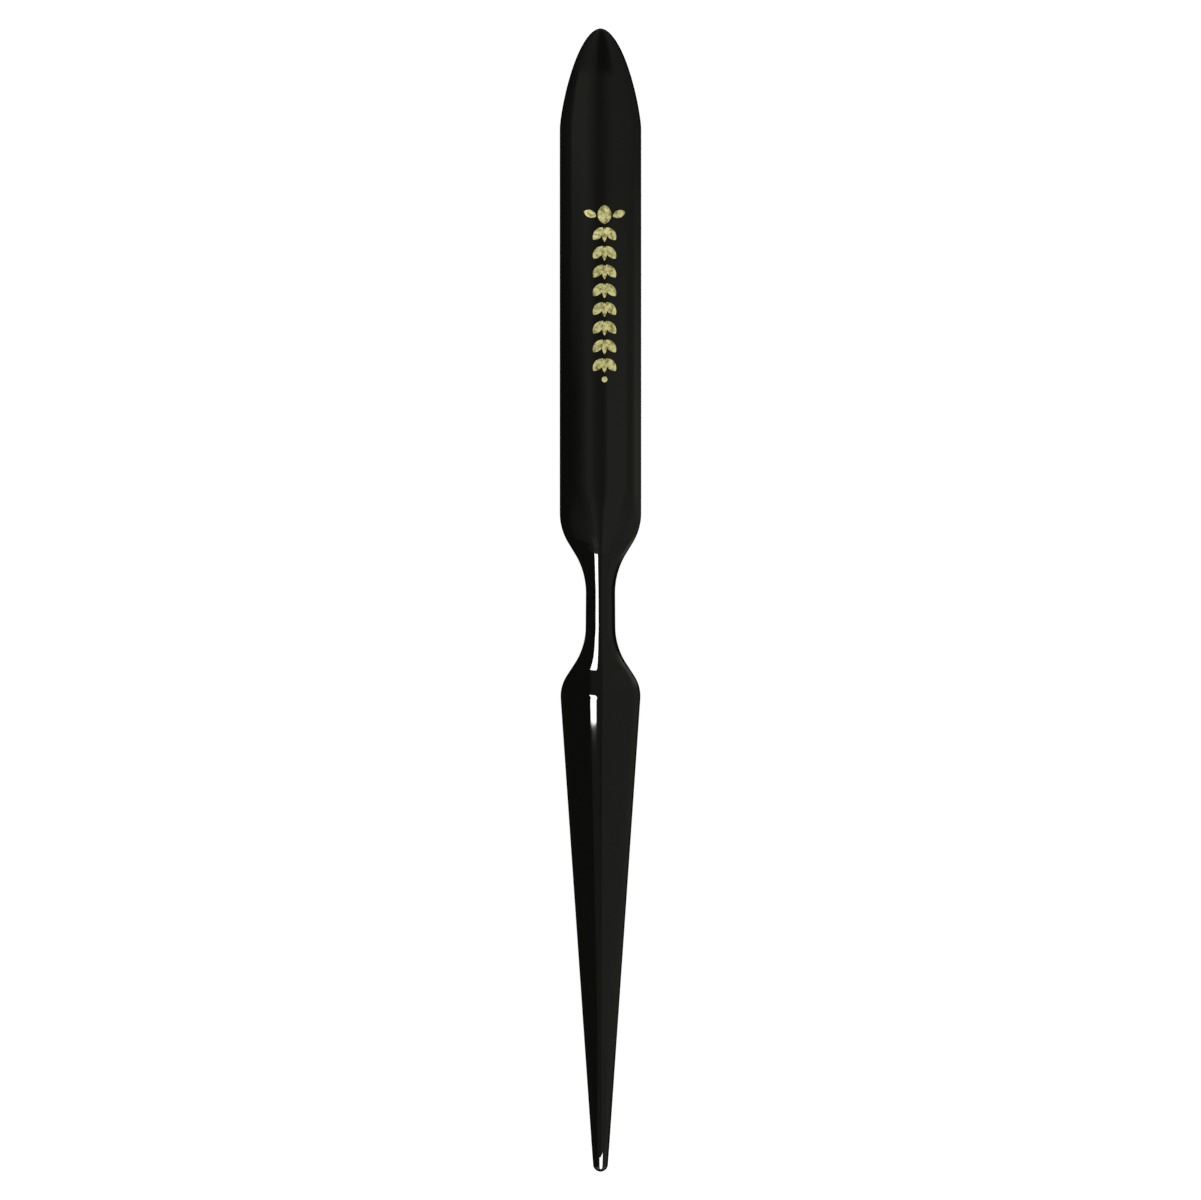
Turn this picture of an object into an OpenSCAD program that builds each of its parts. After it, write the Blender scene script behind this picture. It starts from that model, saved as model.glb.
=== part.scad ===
// Double-ended modelling tool: a flat spatula blade with a pointed-arch end, a slim round
// waist, and a long tapered spike, moulded in one shot. A hot-stamped gold ornament lies on
// the blade's face. Millimetres. The tool lies on its back: +Y towards the blade's point,
// +Z up through the stamped face, and the lowest point of the back at Z = 0.

/* [Overall] */
// Length from the blade's point to the spike's tip
overall_length = 200; // [190:1:215]

/* [Blade] */
// Width of the blade's parallel stretch
blade_width = 14.2; // [13:0.1:16]
// Thickness of the blade along its middle
blade_thickness = 5; // [4:0.1:5.4]
// Length of the pointed arch at the blade's end
arch_length = 17.4; // [15:0.2:20]
// How full the arch's sides are: 1 is straight
arch_fullness = 1.32; // [1.2:0.02:1.8]
// How blunt the arch's nose is: 2 is round
nose_power = 1.9; // [1.8:0.05:2.2]
// Distance from the point to the corner where the blade turns into the waist
blade_corner = 87.6; // [84:0.2:90]
// Plan radius that rounds that corner
blade_corner_radius = 10; // [6:0.5:12]

/* [Waist] */
// Diameter of the round waist
waist_diameter = 5.1; // [4.6:0.1:5.6]
// Distance from the point to the blade end of the waist
waist_start = 95.1; // [94.6:0.1:95.6]
// Distance from the point to the spike end of the waist
waist_end = 108.2; // [107.8:0.1:108.6]
// Plan radius of the hollow between the waist and the blade's corner
blade_hollow_radius = 13.2; // [8:0.2:13.6]
// Plan radius of the hollow between the waist and the spike's corner
spike_hollow_radius = 11.8; // [8:0.2:12.4]
// Radius of the rounded crest that runs from the waist up into the blade's root
crest_radius = 2.7; // [2.6:0.1:3.4]

/* [Spike] */
// Distance from the point to the corner where the waist turns into the spike
spike_corner = 115.1; // [114.8:0.1:117]
// Plan radius that rounds that corner
spike_corner_radius = 6.6; // [4:0.2:7]
// Width of the spike at its corner
spike_width = 14.2; // [13:0.1:15]
// Thickness of the spike at its corner
spike_thickness = 7.2; // [6.4:0.1:8]
// Diameter of the rounded tip
tip_diameter = 2.6; // [2.2:0.1:3]
// How sharply the spike's top and bottom are ridged: 2 is a plain oval
ridge_power = 3.9; // [2.2:0.1:4.5]

/* [Stamped ornament] */
// Thickness of the gold foil
foil_thickness = 0.06; // [0.04:0.01:0.12]
// Distance from the point to the start of the ornament
foil_start = 31.2; // [30:0.2:34]
// Width of the ornament's band
foil_width = 3.9; // [3.2:0.1:4.2]
// How far the band lies to the right of the centreline
foil_offset = 0.7; // [0:0.1:1]

/* [Hidden] */
$fn = 96;

// The outline and the thickness are functions of s, the distance from the blade's point.
blade_half = blade_width / 2;
blade_half_thick = blade_thickness / 2;
waist_radius = waist_diameter / 2;
tip_radius = tip_diameter / 2;

// The spike's straight side touches the round tip at tip_join.
tip_centre = overall_length - tip_radius;
spike_run = [tip_centre - spike_corner, -spike_width / 2];
spike_angle = atan2(spike_run.y, spike_run.x) + asin(tip_radius / norm(spike_run));
tip_join = [tip_centre - tip_radius * sin(spike_angle), tip_radius * cos(spike_angle)];

// Straight-sided outline whose corners are then rounded by the radii beside it. The waist
// widens by twice waist_flare from the blade's end to the spike's.
waist_flare = 0.05;
outline_corners = [
    [arch_length, blade_half],
    [blade_corner, blade_half],
    [waist_start, waist_radius - waist_flare],
    [waist_end, waist_radius + waist_flare],
    [spike_corner, spike_width / 2],
    tip_join
];
outline_radii = [
    0, blade_corner_radius, blade_hollow_radius, spike_hollow_radius, spike_corner_radius, 0
];

// Half thickness along the middle: level through the blade and the waist, a short ramp up to
// the spike's ridge, and a long straight fall to the tip. Its corners are rounded too.
ramp_start = waist_end + 4.4;
ramp_end = spike_corner + 0.9;
thick_corners = [
    [arch_length, blade_half_thick],
    [blade_corner, blade_half_thick],
    [waist_start, waist_radius],
    [ramp_start, waist_radius],
    [ramp_end, spike_thickness / 2],
    tip_join
];
thick_radii = [0, 60, 60, 3, 8, 0];

// The section's power is 2, an oval, along the blade and in the waist. It grows to
// ridge_power between the waist and the spike, and falls back to 2 before the round tip.
ridge_from = waist_end - 2;
ridge_full = spike_corner + 1;
ridge_fade = 172;
ridge_none = 197;

// The blade's root is the exception: there the power is what keeps the crest's radius, up to
// crest_power_limit. It grows from 2 between crest_none and crest_full, and crest_end is in
// the middle of the waist.
crest_none = blade_corner - 7.6;
crest_full = blade_corner + 1.4;
crest_end = (waist_start + waist_end) / 2;
crest_power_limit = 5;

// Stations along the length, closest where the outline turns.
nose_steps = 12;
tip_steps = 5;
blade_step = 15;
root_step = 1;
waist_step = 2.5;
shoulder_step = 0.7;
spike_step = 8;
fade_step = 3;
stations = [
    for (i = [1 : nose_steps]) arch_length * pow(i / nose_steps, 2),
    for (s = [arch_length + blade_step : blade_step : crest_none - 2]) s,
    for (s = [crest_none : root_step : waist_start + 3]) s,
    for (s = [waist_start + 4 : waist_step : ridge_from - 1]) s,
    for (s = [ridge_from : shoulder_step : ramp_end + 4]) s,
    for (s = [ramp_end + 6 : spike_step : ridge_fade - 2]) s,
    for (s = [ridge_fade : fade_step : tip_join.x - 1]) s,
    for (i = [0 : tip_steps - 1])
        tip_join.x + (overall_length - tip_join.x) * sin(90 * i / tip_steps)
];

// Twice an odd number of points round each ring puts a point at each side and a narrow flat
// along the top and the back, so the tool lies steadily.
ring_points = 50;
mid_height = max([for (s = stations) flat_depth(s)]);

// Ornament: a bud between two side leaves, eight leaf sprays in a row, and a berry.
spray_count = 8;
bud_length = 3.3;
bud_width = 2.4;
side_leaf_length = 2.3;
side_leaf_width = 1.3;
side_leaf_turn = 22;
side_leaf_gap = 0.25;
side_leaf_drop = 0.3;
spray_pitch = 3.26;
spray_gap = 0.5;
spray_leaf_length = 2.75;
spray_leaf_width = 1.5;
spray_leaf_lean = 38;
spray_leaf_drop = 0.1;
stem_length = 2.5;
stem_width = 0.85;
stem_drop = 0.15;
berry_radius = 0.5;
stamp_height = 4;

function unit(v) = v / norm(v);
function mix(low, high, t) = low + (high - low) * t;
function ease(from, to, s) =
    let (t = min(1, max(0, (s - from) / (to - from)))) t * t * (3 - 2 * t);

// Height at s of the arc of radius r that rounds the corner p1, or undef off that arc.
function corner_height(p0, p1, p2, r, s) =
    let (
        back = unit(p0 - p1),
        ahead = unit(p2 - p1),
        half_angle = acos(back * ahead) / 2,
        reach = r / tan(half_angle),
        centre = p1 + unit(back + ahead) * r / sin(half_angle),
        side = p1.y > centre.y ? 1 : -1
    )
    s < p1.x + back.x * reach || s > p1.x + ahead.x * reach ? undef
    : centre.y + side * sqrt(max(0, r * r - pow(s - centre.x, 2)));

function rounded_line(corners, radii, s) =
    let (
        heights = [
            for (i = [1 : len(corners) - 2])
                let (
                    h = corner_height(corners[i - 1], corners[i], corners[i + 1], radii[i], s)
                )
                if (!is_undef(h)) h
        ]
    )
    len(heights) > 0 ? heights[0] : lookup(s, corners);

function half_width(s) =
    s < arch_length
        ? blade_half * pow(1 - pow(1 - s / arch_length, arch_fullness), 1 / nose_power)
    : s < tip_join.x ? rounded_line(outline_corners, outline_radii, s)
    : sqrt(max(0, pow(tip_radius, 2) - pow(s - tip_centre, 2)));

function half_thick(s) =
    s < arch_length ? blade_half_thick * half_width(s) / blade_half
    : s < tip_join.x ? rounded_line(thick_corners, thick_radii, s)
    : half_width(s);

// Power at which the section's middle has the crest's radius.
function crest_power(s) =
    min(crest_power_limit, max(2, 1 + pow(half_width(s), 2) / (half_thick(s) * crest_radius)));

function section_power(s) =
    s < crest_end ? mix(2, crest_power(s), ease(crest_none, crest_full, s))
    : mix(2, ridge_power, ease(ridge_from, ridge_full, s) * (1 - ease(ridge_fade, ridge_none, s)));

// Distance from the section's middle to its edge, along the direction (u, v) in units of
// half width and half thickness. Power 2 is an ellipse, and a high one a rounded lozenge.
function section_reach(u, v, power) =
    pow((pow(abs(u + v), power) + pow(abs(u - v), power)) / 2, -1 / power);

// Depth from the section's middle to the flat along its back.
function flat_depth(s) =
    let (u = sin(180 / ring_points), v = cos(180 / ring_points))
    half_thick(s) * v * section_reach(u, v, section_power(s));

function ring(s) =
    let (a = half_width(s), b = half_thick(s), power = section_power(s))
    [
        for (i = [0 : ring_points - 1])
            let (
                u = cos(360 * i / ring_points),
                v = sin(360 * i / ring_points),
                r = section_reach(u, v, power)
            )
            [a * r * u, overall_length / 2 - s, mid_height + b * r * v]
    ];

module body() {
    rings = [for (s = stations) ring(s)];
    last = len(stations) - 1;
    tip = 1 + (last + 1) * ring_points;
    points = concat(
        [[0, overall_length / 2, mid_height]],
        [for (r = rings) for (p = r) p],
        [[0, -overall_length / 2, mid_height]]
    );
    faces = concat(
        [for (i = [0 : ring_points - 1]) [0, 1 + i, 1 + (i + 1) % ring_points]],
        [
            for (k = [0 : last - 1])
                for (i = [0 : ring_points - 1])
                    let (
                        here = 1 + k * ring_points,
                        next = (i + 1) % ring_points
                    )
                    [
                        here + i, here + ring_points + i,
                        here + ring_points + next, here + next
                    ]
        ],
        [
            for (i = [0 : ring_points - 1])
                [tip, 1 + last * ring_points + (i + 1) % ring_points, 1 + last * ring_points + i]
        ]
    );
    color("#1c1d1a") polyhedron(points = points, faces = faces, convexity = 6);
}

// The blade's face is an elliptical cylinder where the ornament lies.
module blade_cylinder(growth) {
    radius = blade_half + growth;
    translate([0, 0, mid_height])
        scale([1, 1, (blade_half_thick + growth) / radius])
            rotate([90, 0, 0])
                cylinder(r = radius, h = overall_length, center = true);
}

// Foil laid on the blade's face in the plan shape of the children.
module stamped() {
    color("#d9b65c")
        intersection() {
            difference() {
                blade_cylinder(foil_thickness);
                blade_cylinder(0);
            }
            translate([foil_offset, overall_length / 2 - foil_start, mid_height])
                linear_extrude(height = stamp_height)
                    children();
        }
}

// Pointed leaf along -Y from the origin: two equal arcs that meet at its ends.
module leaf(length, width) {
    radius = (length * length + width * width) / (4 * width);
    shift = radius - width / 2;
    translate([0, -length / 2])
        intersection() {
            translate([shift, 0]) circle(r = radius);
            translate([-shift, 0]) circle(r = radius);
        }
}

module side_leaf(side) {
    translate([side * (bud_width / 2 + side_leaf_gap), -bud_length / 2 - side_leaf_drop])
        rotate(side * (90 + side_leaf_turn))
            leaf(side_leaf_length, side_leaf_width);
}

// Two leaves that spread from a stem, like one joint of a garland.
module spray() {
    spread = foil_width / 2 - spray_leaf_length * sin(spray_leaf_lean);
    translate([0, -stem_drop]) leaf(stem_length, stem_width);
    for (side = [-1, 1])
        translate([side * spread, -spray_leaf_drop])
            rotate(side * spray_leaf_lean)
                leaf(spray_leaf_length, spray_leaf_width);
}

module foil_spray(i) {
    stamped() translate([0, -bud_length - spray_gap - (i - 1) * spray_pitch]) spray();
}

module foil_bud() {
    stamped() leaf(bud_length, bud_width);
}

module foil_side_leaf(side) {
    stamped() side_leaf(side);
}

module foil_berry() {
    stamped()
        translate([0, -bud_length - spray_gap - spray_count * spray_pitch - berry_radius])
            circle(r = berry_radius);
}

body();
foil_bud();
foil_side_leaf(-1);  // foil_side_leaf_left
foil_side_leaf(1);  // foil_side_leaf_right
foil_spray(1);  // foil_spray_1
foil_spray(2);  // foil_spray_2
foil_spray(3);  // foil_spray_3
foil_spray(4);  // foil_spray_4
foil_spray(5);  // foil_spray_5
foil_spray(6);  // foil_spray_6
foil_spray(7);  // foil_spray_7
foil_spray(8);  // foil_spray_8
foil_berry();
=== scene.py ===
"""Looks for a double-ended modelling tool: a gloss-black moulding with a gold hot-stamped garland."""
import math

import bpy
import numpy as np
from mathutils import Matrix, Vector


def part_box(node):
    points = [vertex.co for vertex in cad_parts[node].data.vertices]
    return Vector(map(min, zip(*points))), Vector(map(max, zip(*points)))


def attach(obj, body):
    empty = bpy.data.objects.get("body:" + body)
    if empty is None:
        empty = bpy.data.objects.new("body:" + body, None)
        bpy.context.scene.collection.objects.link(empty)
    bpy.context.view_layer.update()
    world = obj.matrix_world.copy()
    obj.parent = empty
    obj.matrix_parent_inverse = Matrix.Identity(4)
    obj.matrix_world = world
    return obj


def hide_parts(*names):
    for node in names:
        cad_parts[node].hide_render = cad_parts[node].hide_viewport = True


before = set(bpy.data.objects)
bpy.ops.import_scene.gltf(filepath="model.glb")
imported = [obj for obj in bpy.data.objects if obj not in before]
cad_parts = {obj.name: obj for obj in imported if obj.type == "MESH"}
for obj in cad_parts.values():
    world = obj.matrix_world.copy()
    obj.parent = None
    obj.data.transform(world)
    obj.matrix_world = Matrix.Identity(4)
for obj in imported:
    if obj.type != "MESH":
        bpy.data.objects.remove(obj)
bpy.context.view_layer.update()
MM = 0.001

# ---------------------------------------------------------------- shape of the moulding, in millimetres
OVERALL_LENGTH = 200.0
BLADE_HALF, BLADE_DEPTH = 7.1, 2.5
ARCH_LENGTH, ARCH_FULLNESS, NOSE_POWER = 17.4, 1.32, 1.9
BLADE_CORNER, BLADE_CORNER_RADIUS = 87.6, 10.0
WAIST_RADIUS, WAIST_FLARE = 2.55, 0.05
WAIST_START, WAIST_END = 95.1, 108.2
BLADE_HOLLOW_RADIUS, SPIKE_HOLLOW_RADIUS = 13.2, 11.8
SPIKE_CORNER, SPIKE_CORNER_RADIUS = 115.1, 6.6
SPIKE_HALF, SPIKE_DEPTH = 7.1, 3.6
TIP_RADIUS = 1.3
# The depth passes from blade to waist on wide arcs, then climbs a short ramp to the spike.
SWELL_RADIUS = 60
RAMP_START, RAMP_START_RADIUS = WAIST_END + 4.4, 3
RAMP_END, RAMP_END_RADIUS = SPIKE_CORNER + 0.9, 8
# Section powers: a crest between the waist and the blade, and a ridge along the spike.
ELLIPSE = 2
CREST_RADIUS, CREST_POWER_LIMIT = 2.7, 5.0
CREST_NONE, CREST_FULL = BLADE_CORNER - 7.6, BLADE_CORNER + 1.4
CREST_END = (WAIST_START + WAIST_END) / 2
RIDGE_POWER = 3.9
RIDGE_FROM, RIDGE_FULL = WAIST_END - 2, SPIKE_CORNER + 1
RIDGE_FADE, RIDGE_NONE = 172.0, 197.0

lo, hi = (np.array(corner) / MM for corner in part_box("body"))
MID_HEIGHT = (lo[2] + hi[2]) / 2
POINT_Y = hi[1]

TIP_CENTRE = OVERALL_LENGTH - TIP_RADIUS
SPIKE_RUN = np.array([TIP_CENTRE - SPIKE_CORNER, -SPIKE_HALF])
SPIKE_ANGLE = math.atan2(SPIKE_RUN[1], SPIKE_RUN[0]) + math.asin(
    TIP_RADIUS / np.linalg.norm(SPIKE_RUN)
)
TIP_JOIN = (
    TIP_CENTRE - TIP_RADIUS * math.sin(SPIKE_ANGLE),
    TIP_RADIUS * math.cos(SPIKE_ANGLE),
)
# Corners of the half outline and of the half depth: distance from the blade's point, height, radius.
OUTLINE = [
    (ARCH_LENGTH, BLADE_HALF, 0),
    (BLADE_CORNER, BLADE_HALF, BLADE_CORNER_RADIUS),
    (WAIST_START, WAIST_RADIUS - WAIST_FLARE, BLADE_HOLLOW_RADIUS),
    (WAIST_END, WAIST_RADIUS + WAIST_FLARE, SPIKE_HOLLOW_RADIUS),
    (SPIKE_CORNER, SPIKE_HALF, SPIKE_CORNER_RADIUS),
    (*TIP_JOIN, 0),
]
DEPTHS = [
    (ARCH_LENGTH, BLADE_DEPTH, 0),
    (BLADE_CORNER, BLADE_DEPTH, SWELL_RADIUS),
    (WAIST_START, WAIST_RADIUS, SWELL_RADIUS),
    (RAMP_START, WAIST_RADIUS, RAMP_START_RADIUS),
    (RAMP_END, SPIKE_DEPTH, RAMP_END_RADIUS),
    (*TIP_JOIN, 0),
]


# A corner nearer to straight than this angle needs no arc.
STRAIGHT = 1e-5


def rounded_line(corners, s):
    """Height at s of a line through the corners, each rounded to its own radius."""
    points = np.array([c[:2] for c in corners])
    height = np.interp(s, points[:, 0], points[:, 1])
    for i in range(1, len(corners) - 1):
        before, corner, after = points[i - 1 : i + 2]
        radius = corners[i][2]
        back = (before - corner) / np.linalg.norm(before - corner)
        ahead = (after - corner) / np.linalg.norm(after - corner)
        half_angle = math.acos(np.clip(back @ ahead, -1, 1)) / 2
        if half_angle > math.pi / 2 - STRAIGHT:
            continue
        reach = radius / math.tan(half_angle)
        middle = (back + ahead) / np.linalg.norm(back + ahead)
        centre = corner + middle * radius / math.sin(half_angle)
        start, end = corner[0] + back[0] * reach, corner[0] + ahead[0] * reach
        side = 1 if corner[1] > centre[1] else -1
        arc = centre[1] + side * np.sqrt(np.maximum(radius**2 - (s - centre[0]) ** 2, 0))
        height = np.where((s >= start) & (s <= end), arc, height)
    return height


def ease(start, end, s):
    """0 before start and 1 after end, with a smooth step between."""
    x = np.clip((s - start) / (end - start), 0, 1)
    return x * x * (3 - 2 * x)


def half_width(s):
    """Half the tool's width at s mm from the blade's point."""
    s = np.asarray(s, float)
    left = np.clip(1 - s / ARCH_LENGTH, 0, 1)
    arch = BLADE_HALF * (1 - left**ARCH_FULLNESS) ** (1 / NOSE_POWER)
    tip = np.sqrt(np.maximum(TIP_RADIUS**2 - (s - TIP_CENTRE) ** 2, 0))
    parts = [s < ARCH_LENGTH, s < TIP_JOIN[0]]
    return np.select(parts, [arch, rounded_line(OUTLINE, s)], tip)


def half_depth(s):
    """Half the tool's thickness at s mm from the blade's point."""
    s = np.asarray(s, float)
    width = half_width(s)
    arch = BLADE_DEPTH * width / BLADE_HALF
    parts = [s < ARCH_LENGTH, s < TIP_JOIN[0]]
    return np.select(parts, [arch, rounded_line(DEPTHS, s)], width)


def section_power(s):
    """2 is an ellipse. Higher powers draw the section towards a rhombus, with a ridge along it."""
    s = np.asarray(s, float)
    sharpness = 1 + half_width(s) ** 2 / np.maximum(half_depth(s), 0.01) / CREST_RADIUS
    crest = np.clip(sharpness, ELLIPSE, CREST_POWER_LIMIT)
    blade = ELLIPSE + (crest - ELLIPSE) * ease(CREST_NONE, CREST_FULL, s)
    ridge = ease(RIDGE_FROM, RIDGE_FULL, s) * (1 - ease(RIDGE_FADE, RIDGE_NONE, s))
    spike = ELLIPSE + (RIDGE_POWER - ELLIPSE) * ridge
    return np.where(s < CREST_END, blade, spike)


# ---------------------------------------------------------------- body mesh
NOSE_LENGTH, NOSE_RINGS = 4.0, 36
TIP_RINGS, TIP_GAP = 24, 0.3
FINE_FROM, FINE_TO = 82, 124
COARSE_STEP, FINE_STEP = 0.8, 0.2
POINTS_AROUND = 144
# The parting line: how far it stands out, how wide it is, and the length over which each end fades.
SEAM_HEIGHT, SEAM_ANGLE, SEAM_FADE = 0.022, 0.018, 6


def stations():
    """Distances from the blade's point, close together at both ends and round the waist."""
    nose = NOSE_LENGTH * np.linspace(0, 1, NOSE_RINGS) ** 2
    tip = OVERALL_LENGTH - TIP_RADIUS * (1 - np.cos(np.linspace(0, math.pi / 2, TIP_RINGS)))
    blade = np.arange(NOSE_LENGTH + COARSE_STEP / 2, FINE_FROM, COARSE_STEP)
    middle = np.arange(FINE_FROM, FINE_TO, FINE_STEP)
    spike = np.arange(FINE_TO, TIP_CENTRE - TIP_GAP, COARSE_STEP)
    return np.unique(np.concatenate([nose[1:], blade, middle, spike, tip[1:]]))


def ring_angles():
    """Even angles, and a few more close to each side for the parting line."""
    even = np.linspace(0, 2 * math.pi, POINTS_AROUND, endpoint=False)
    near = np.array([-2, -1, 1, 2]) * SEAM_ANGLE
    return np.unique(np.concatenate([even, near % (2 * math.pi), math.pi + near]))


def body_mesh():
    angles = ring_angles()
    s = stations()[:, None]
    u, v = np.cos(angles)[None, :], np.sin(angles)[None, :]
    a, b, p = half_width(s), half_depth(s), section_power(s)
    reach = ((np.abs(u + v) ** p + np.abs(u - v) ** p) / 2) ** (-1 / p)
    x, z = a * reach * u, b * reach * v
    seam = np.clip(1 - np.abs(np.sin(angles)) / (1.5 * SEAM_ANGLE), 0, 1)[None, :]
    end_fade = ease(0, SEAM_FADE, s) * (1 - ease(OVERALL_LENGTH - SEAM_FADE, OVERALL_LENGTH, s))
    x = x + np.sign(u) * SEAM_HEIGHT * seam * end_fade
    y = POINT_Y - s + 0 * u
    rings = np.stack([x, y, MID_HEIGHT + z], -1)
    count, around = rings.shape[:2]
    ends = [[0, POINT_Y, MID_HEIGHT], [0, POINT_Y - OVERALL_LENGTH, MID_HEIGHT]]
    points = np.concatenate([rings.reshape(-1, 3), ends]) * MM
    i = np.arange(count - 1)[:, None] * around
    j, k = np.arange(around), (np.arange(around) + 1) % around
    quads = np.stack([i + j, i + k, i + around + k, i + around + j], -1).reshape(-1, 4)
    first, last = count * around, count * around + 1
    final = (count - 1) * around
    faces = [tuple(q) for q in quads.tolist()]
    faces += [(first, int(kk), int(jj)) for jj, kk in zip(j, k)]
    faces += [(last, final + int(jj), final + int(kk)) for jj, kk in zip(j, k)]
    mesh = bpy.data.meshes.new("tool_body")
    mesh.from_pydata(points.tolist(), [], faces)
    mesh.update()
    mesh.shade_smooth()
    return mesh


# ---------------------------------------------------------------- materials
PLASTIC_COLOURS = (0.0044, 0.0045, 0.0035), (0.0056, 0.0058, 0.0046)
PLASTIC_ROUGHNESS, MARK_ROUGHNESS = (0.02, 0.035), 0.03
PLASTIC_IOR = 1.5
# Depths of relief, in metres.
RIPPLE_DEPTH, SCRATCH_DEPTH, GRAIN_DEPTH = 0.000003, 0.0000012, 0.000012
MARK_STRETCH = (1.0, 0.035, 1.0)
FOIL_COLOURS = (0.36, 0.315, 0.078), (1.0, 0.93, 0.42)
FOIL_ROUGHNESS, FOIL_METALLIC = (0.28, 0.45), 0.15
FLOOR_COLOURS = (0.83, 0.83, 0.83), (0.85, 0.85, 0.85)
FLOOR_GLOW, BACKDROP_GLOW = 0.72, 1.3


def new_material(name):
    material = bpy.data.materials.new(name)
    material.use_nodes = True
    tree = material.node_tree
    shader = tree.nodes["Principled BSDF"]
    return material, tree, shader


def noise(tree, coords, scale, detail=2.0, roughness=0.5, stretch=None):
    node = tree.nodes.new("ShaderNodeTexNoise")
    node.inputs["Scale"].default_value = scale
    node.inputs["Detail"].default_value = detail
    node.inputs["Roughness"].default_value = roughness
    source = coords
    if stretch:
        mapping = tree.nodes.new("ShaderNodeMapping")
        mapping.inputs["Scale"].default_value = stretch
        tree.links.new(coords, mapping.inputs["Vector"])
        source = mapping.outputs["Vector"]
    tree.links.new(source, node.inputs["Vector"])
    return node.outputs["Fac"]


def ramp(tree, value, low, high, out_low, out_high):
    node = tree.nodes.new("ShaderNodeMapRange")
    limits = {"From Min": low, "From Max": high, "To Min": out_low, "To Max": out_high}
    for name, number in limits.items():
        node.inputs[name].default_value = number
    tree.links.new(value, node.inputs["Value"])
    return node.outputs["Result"]


def mix_colour(tree, factor, first, second):
    node = tree.nodes.new("ShaderNodeMix")
    node.data_type = "RGBA"
    tree.links.new(factor, node.inputs["Factor"])
    node.inputs["A"].default_value = (*first, 1)
    node.inputs["B"].default_value = (*second, 1)
    return node.outputs["Result"]


def bump(tree, height, distance, strength, normal=None):
    node = tree.nodes.new("ShaderNodeBump")
    node.inputs["Distance"].default_value = distance
    node.inputs["Strength"].default_value = strength
    tree.links.new(height, node.inputs["Height"])
    if normal:
        tree.links.new(normal, node.inputs["Normal"])
    return node.outputs["Normal"]


def object_coords(tree):
    return tree.nodes.new("ShaderNodeTexCoord").outputs["Object"]


def moulded_plastic():
    """Gloss-black styrene: faint flow clouds, fine handling marks and a slow ripple in the gloss."""
    material, tree, shader = new_material("moulded_plastic_gloss_black")
    coords = object_coords(tree)
    clouds = noise(tree, coords, 60, 3)
    colour = mix_colour(tree, ramp(tree, clouds, 0.3, 0.7, 0, 1), *PLASTIC_COLOURS)
    tree.links.new(colour, shader.inputs["Base Color"])
    patches = noise(tree, coords, 140, 4, 0.6)
    marks = noise(tree, coords, 900, 2, 0.5, stretch=MARK_STRETCH)
    gloss = tree.nodes.new("ShaderNodeMath")
    gloss.operation = "MULTIPLY_ADD"
    tree.links.new(ramp(tree, marks, 0.62, 0.8, 0, 1), gloss.inputs[0])
    gloss.inputs[1].default_value = MARK_ROUGHNESS
    tree.links.new(ramp(tree, patches, 0.3, 0.7, *PLASTIC_ROUGHNESS), gloss.inputs[2])
    tree.links.new(gloss.outputs["Value"], shader.inputs["Roughness"])
    ripple = bump(tree, noise(tree, coords, 110, 1), RIPPLE_DEPTH, 1.0)
    scratches = bump(tree, ramp(tree, marks, 0.66, 0.8, 0, 1), SCRATCH_DEPTH, 0.6, ripple)
    tree.links.new(scratches, shader.inputs["Normal"])
    shader.inputs["IOR"].default_value = PLASTIC_IOR
    return material


def gold_foil():
    """Hot-stamped film: pale gold, mottled, with a fine grain."""
    material, tree, shader = new_material("gold_foil_stamped")
    coords = object_coords(tree)
    mottle = noise(tree, coords, 1300, 3, 0.6)
    colour = mix_colour(tree, ramp(tree, mottle, 0.38, 0.58, 0, 1), *FOIL_COLOURS)
    tree.links.new(colour, shader.inputs["Base Color"])
    shader.inputs["Metallic"].default_value = FOIL_METALLIC
    grain = noise(tree, coords, 5200, 3, 0.6)
    tree.links.new(ramp(tree, mottle, 0.3, 0.7, *FOIL_ROUGHNESS), shader.inputs["Roughness"])
    tree.links.new(bump(tree, grain, GRAIN_DEPTH, 0.8), shader.inputs["Normal"])
    return material


def floor_material():
    """Plain matt white board that also glows, with a barely visible tooth."""
    material, tree, shader = new_material("white_board")
    coords = object_coords(tree)
    tooth = noise(tree, coords, 40, 3)
    tree.links.new(mix_colour(tree, tooth, *FLOOR_COLOURS), shader.inputs["Base Color"])
    shader.inputs["Roughness"].default_value = 0.9
    shader.inputs["Specular IOR Level"].default_value = 0.0
    shader.inputs["Emission Color"].default_value = (1, 1, 1, 1)
    shader.inputs["Emission Strength"].default_value = FLOOR_GLOW
    return material


def glow_material(name, strength):
    material = bpy.data.materials.new(name)
    material.use_nodes = True
    tree = material.node_tree
    tree.nodes.clear()
    emission = tree.nodes.new("ShaderNodeEmission")
    emission.inputs["Strength"].default_value = strength
    output = tree.nodes.new("ShaderNodeOutputMaterial")
    tree.links.new(emission.outputs["Emission"], output.inputs["Surface"])
    return material


# ---------------------------------------------------------------- pieces
def add_object(name, mesh):
    obj = bpy.data.objects.new(name, mesh)
    bpy.context.scene.collection.objects.link(obj)
    return obj


plastic, foil = moulded_plastic(), gold_foil()
body = add_object("moulded_body", body_mesh())
body.data.materials.append(plastic)
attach(body, "root")
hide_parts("body")

for name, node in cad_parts.items():
    if name.startswith("foil"):
        node.data.materials.clear()
        node.data.materials.append(foil)

# ---------------------------------------------------------------- floor and backdrop
FLOOR_RADIUS = 8.0
# The dome starts a little below the floor and stops just short of its own top.
DOME_START, DOME_END = -0.1, math.pi / 2 - 0.02


def disc(name, radius, height, steps=96):
    turns = np.linspace(0, 2 * math.pi, steps, endpoint=False)
    points = [(radius * math.cos(t), radius * math.sin(t), height) for t in turns]
    mesh = bpy.data.meshes.new(name)
    mesh.from_pydata(points, [], [tuple(range(steps))])
    return add_object(name, mesh)


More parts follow.
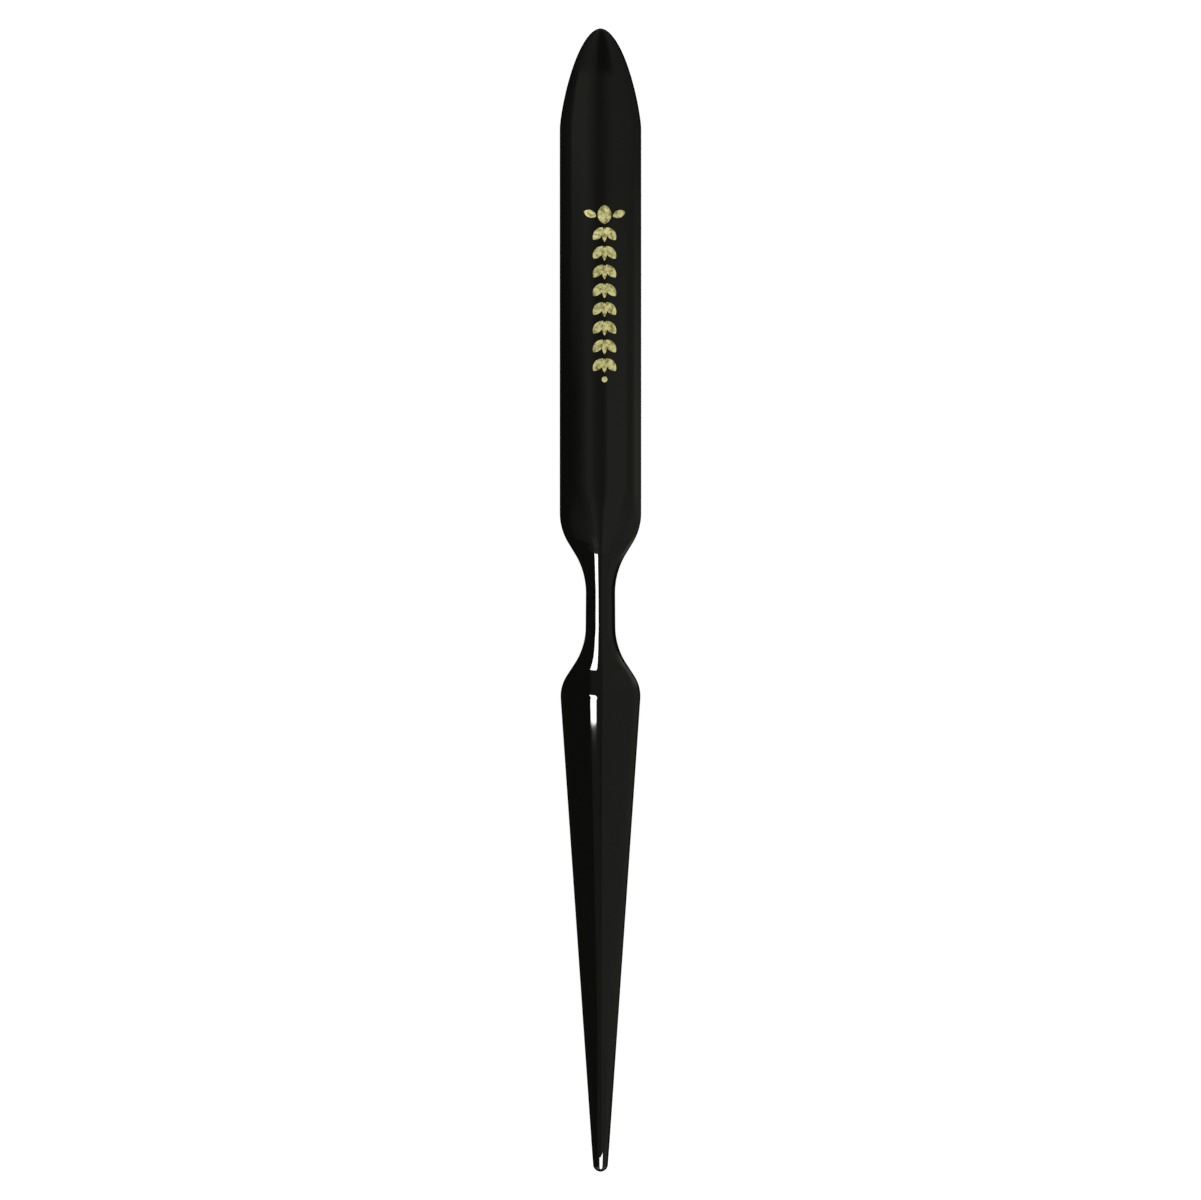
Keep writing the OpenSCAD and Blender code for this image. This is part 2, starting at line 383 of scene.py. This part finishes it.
def dome(name, radius, rows=24, steps=64):
    turns = np.linspace(0, 2 * math.pi, steps, endpoint=False)
    rises = np.linspace(DOME_START, DOME_END, rows)
    points = [
        (
            radius * math.cos(r) * math.cos(t),
            radius * math.cos(r) * math.sin(t),
            radius * math.sin(r),
        )
        for r in rises
        for t in turns
    ]
    faces = []
    for i in range(rows - 1):
        here, above = i * steps, (i + 1) * steps
        for j in range(steps):
            k = (j + 1) % steps
            faces.append((here + j, above + j, above + k, here + k))
    mesh = bpy.data.meshes.new(name)
    mesh.from_pydata(points, [], faces)
    return add_object(name, mesh)


floor = disc("floor", FLOOR_RADIUS, 0.0)
floor.data.materials.append(floor_material())
floor.visible_glossy = False
backdrop = dome("backdrop", FLOOR_RADIUS)
backdrop.data.materials.append(glow_material("pale_backdrop", BACKDROP_GLOW))
for ray in ("diffuse", "glossy", "transmission", "volume_scatter", "shadow"):
    setattr(backdrop, "visible_" + ray, False)

# ---------------------------------------------------------------- light
SKY_COLOUR, SKY_STRENGTH = (0.98, 1.0, 0.97, 1), 0.62
world = bpy.data.worlds.new("soft_room")
bpy.context.scene.world = world
world.use_nodes = True
sky = world.node_tree.nodes["Background"]
sky.inputs["Color"].default_value = SKY_COLOUR
sky.inputs["Strength"].default_value = SKY_STRENGTH
world.cycles_visibility.glossy = False
world.cycles_visibility.camera = False

# The boards and arches are placed round a line along the tool at this height, in metres.
LIGHT_AXIS = (0, 0, 0.006)


def board(name, corners, distance, radiance):
    """A light or dark board round the tool, hidden from the camera and from diffuse rays. Each
    corner is an angle from overhead, in degrees and positive to the right, and a place along the
    tool in metres."""
    turns = [(math.radians(angle), along) for angle, along in corners]
    mesh = bpy.data.meshes.new(name)
    mesh.from_pydata(
        [(distance * math.sin(turn), along, distance * math.cos(turn)) for turn, along in turns],
        [],
        [tuple(range(len(turns)))],
    )
    mesh.materials.append(glow_material(name, radiance))
    obj = add_object(name, mesh)
    obj.location = LIGHT_AXIS
    obj.visible_camera = obj.visible_diffuse = False
    return obj


ARCH_TINT = (0.98, 1.0, 0.87)
# How bright each arch is, by the angle from overhead: degrees, positive to the right, and radiance.
# The levels are given one by one. The room arch has FAR beyond the tool's ends, then ROOM_ENDS, then
# ROOM.
# The blade arch goes from BLADE_START by the waist to NOSE at the blade's point.
FAR = [
    (-112, 0.4),
    (-70, 1.1),
    (-20, 0.7),
    (20, 0.7),
    (70, 1.1),
    (112, 0.4),
]
ROOM_ENDS = [
    (-112, 0.0),
    (-40, 0.02),
    (-36, 0.12),
    (-9, 0.14),
    (-4, 0.11),
    (5, 0.11),
    (12, 0.24),
    (60, 0.25),
    (74, 0.75),
    (98, 0.75),
    (112, 0.0),
]
ROOM = [
    (-112, 0.0),
    (-104, 0.015),
    (-40, 0.02),
    (-36, 0.12),
    (-9, 0.14),
    (-4, 0.11),
    (5, 0.11),
    (12, 0.24),
    (60, 0.23),
    (72, 0.28),
    (92, 0.22),
    (112, 0.0),
]
BLADE_START = [
    (-115, 0.0),
    (-80, 0.01),
    (-68, 0.02),
    (-63, 0.08),
    (-54, 0.13),
    (-44, 0.16),
    (-26, 0.25),
    (-18, 0.27),
    (-10, 0.17),
    (3, 0.11),
    (8, 0.14),
    (14, 0.29),
    (48, 0.29),
    (60, 0.24),
    (80, 0.30),
    (100, 0.30),
    (115, 0.0),
]
BLADE_ROOT = [
    (-115, 0.0),
    (-60, 0.015),
    (-48, 0.04),
    (-36, 0.11),
    (-26, 0.23),
    (-18, 0.25),
    (-10, 0.15),
    (3, 0.10),
    (8, 0.13),
    (14, 0.29),
    (48, 0.29),
    (60, 0.17),
    (70, 0.20),
    (82, 0.42),
    (100, 0.30),
    (115, 0.0),
]
BLADE_MIDDLE = [
    (-115, 0.0),
    (-72, 0.06),
    (-64, 0.09),
    (-58, 0.28),
    (-30, 0.29),
    (-14, 0.17),
    (-7, 0.10),
    (3, 0.09),
    (14, 0.16),
    (24, 0.21),
    (60, 0.20),
    (76, 0.16),
    (95, 0.14),
    (115, 0.0),
]
NOSE = [
    (-115, 0.0),
    (-70, 0.10),
    (-30, 0.20),
    (-14, 0.14),
    (-6, 0.03),
    (12, 0.02),
    (24, 0.06),
    (34, 0.20),
    (80, 0.16),
    (115, 0.0),
]


def angle_curve(tree, share, stops):
    """Brightness by angle, from stops spread over the arch."""
    first, last = stops[0][0], stops[-1][0]
    curve = tree.nodes.new("ShaderNodeValToRGB")
    elements = curve.color_ramp.elements
    for _ in stops[2:]:
        elements.new(0.5)
    for element, (angle, level) in zip(elements, stops):
        element.position = (angle - first) / (last - first)
        element.color = (*(level * tint for tint in ARCH_TINT), 1)
    tree.links.new(ramp(tree, share, math.radians(first), math.radians(last), 0, 1), curve.inputs["Fac"])
    return curve.outputs["Color"]


ARCH_STEPS = 120


def light_arch(name, radius, along, stops, changes):
    """A dim arch of soft boards over the tool, seen only in its gloss. Each change is a pair of
    places along the tool, in metres, between which the stops give way to others."""
    first, last = stops[0][0], stops[-1][0]
    turns = np.radians(np.linspace(first, last, ARCH_STEPS))
    points = [(radius * math.sin(t), y, radius * math.cos(t)) for y in along for t in turns]
    faces = [(i, i + 1, ARCH_STEPS + i + 1, ARCH_STEPS + i) for i in range(ARCH_STEPS - 1)]
    mesh = bpy.data.meshes.new(name)
    mesh.from_pydata(points, [], faces)
    obj = add_object(name, mesh)
    obj.location = LIGHT_AXIS
    material = glow_material(name, 1.0)
    tree = material.node_tree
    split = tree.nodes.new("ShaderNodeSeparateXYZ")
    tree.links.new(object_coords(tree), split.inputs["Vector"])
    turn = tree.nodes.new("ShaderNodeMath")
    turn.operation = "ARCTAN2"
    tree.links.new(split.outputs["X"], turn.inputs[0])
    tree.links.new(split.outputs["Z"], turn.inputs[1])
    colour = angle_curve(tree, turn.outputs["Value"], stops)
    for start, end, others in changes:
        blend = tree.nodes.new("ShaderNodeMix")
        blend.data_type = "RGBA"
        tree.links.new(ramp(tree, split.outputs["Y"], start, end, 0, 1), blend.inputs["Factor"])
        tree.links.new(colour, blend.inputs["A"])
        tree.links.new(angle_curve(tree, turn.outputs["Value"], others), blend.inputs["B"])
        colour = blend.outputs["Result"]
    emission = next(n for n in tree.nodes if n.type == "EMISSION")
    tree.links.new(colour, emission.inputs["Color"])
    mesh.materials.append(material)
    obj.visible_camera = obj.visible_diffuse = obj.visible_shadow = False


KEY_DISTANCE, KEY_RADIANCE = 0.5, 28
KEY_CORNERS = [
    (-41, 0.031),
    (-20, 0.028),
    (-14, -0.020),
    (-18, -0.0675),
    (-39, -0.0675),
    (-37, -0.020),
]
ROOM_RADIUS, ROOM_SPAN = 2.0, (-6, 6)
ROOM_CHANGES = [
    (-1.7, -1.35, ROOM_ENDS),
    (-0.9, -0.5, ROOM),
    (0.4, 0.8, ROOM_ENDS),
    (1.35, 1.7, FAR),
]
BLADE_ARCH_RADIUS, BLADE_ARCH_SPAN = 0.012, (0.0083, 0.13)
BLADE_CHANGES = [
    (0.0125, 0.0175, BLADE_ROOT),
    (0.036, 0.080, BLADE_MIDDLE),
    (0.0955, 0.0985, NOSE),
]
# The shade keeps the key board's light off the blade's root. It only casts a shadow.
SHADE_DISTANCE, SHADE_ANGLES, SHADE_FROM, SHADE_TO = 0.0125, (-85, -45, -5), 0.0105, 0.06
SHADE_CORNERS = [(angle, SHADE_FROM) for angle in SHADE_ANGLES]
SHADE_CORNERS += [(angle, SHADE_TO) for angle in reversed(SHADE_ANGLES)]
TIP_DISTANCE, TIP_RADIANCE = 0.012, 26
TIP_CORNERS = [(-16, -0.1003), (34, -0.0993), (34, -0.135), (-16, -0.135)]

board("key_board", KEY_CORNERS, KEY_DISTANCE, KEY_RADIANCE)
light_arch("room_arch", ROOM_RADIUS, ROOM_SPAN, FAR, ROOM_CHANGES)
light_arch("blade_arch", BLADE_ARCH_RADIUS, BLADE_ARCH_SPAN, BLADE_START, BLADE_CHANGES)
shade = board("key_shade", SHADE_CORNERS, SHADE_DISTANCE, 0)
shade.visible_glossy = False
board("tip_board", TIP_CORNERS, TIP_DISTANCE, TIP_RADIANCE)

# ---------------------------------------------------------------- camera
camera_data = bpy.data.cameras.new("camera")
FOCAL_LENGTH, SENSOR_WIDTH = 100, 36
camera_data.lens, camera_data.sensor_width = FOCAL_LENGTH, SENSOR_WIDTH
# Width of the picture at the tool's middle height.
FRAME_WIDTH = 210.11 * MM
camera = add_object("camera", camera_data)
camera.location = (0, 0, MID_HEIGHT * MM + FRAME_WIDTH * FOCAL_LENGTH / SENSOR_WIDTH)
bpy.context.scene.camera = camera
bpy.context.scene.view_settings.view_transform = "Standard"
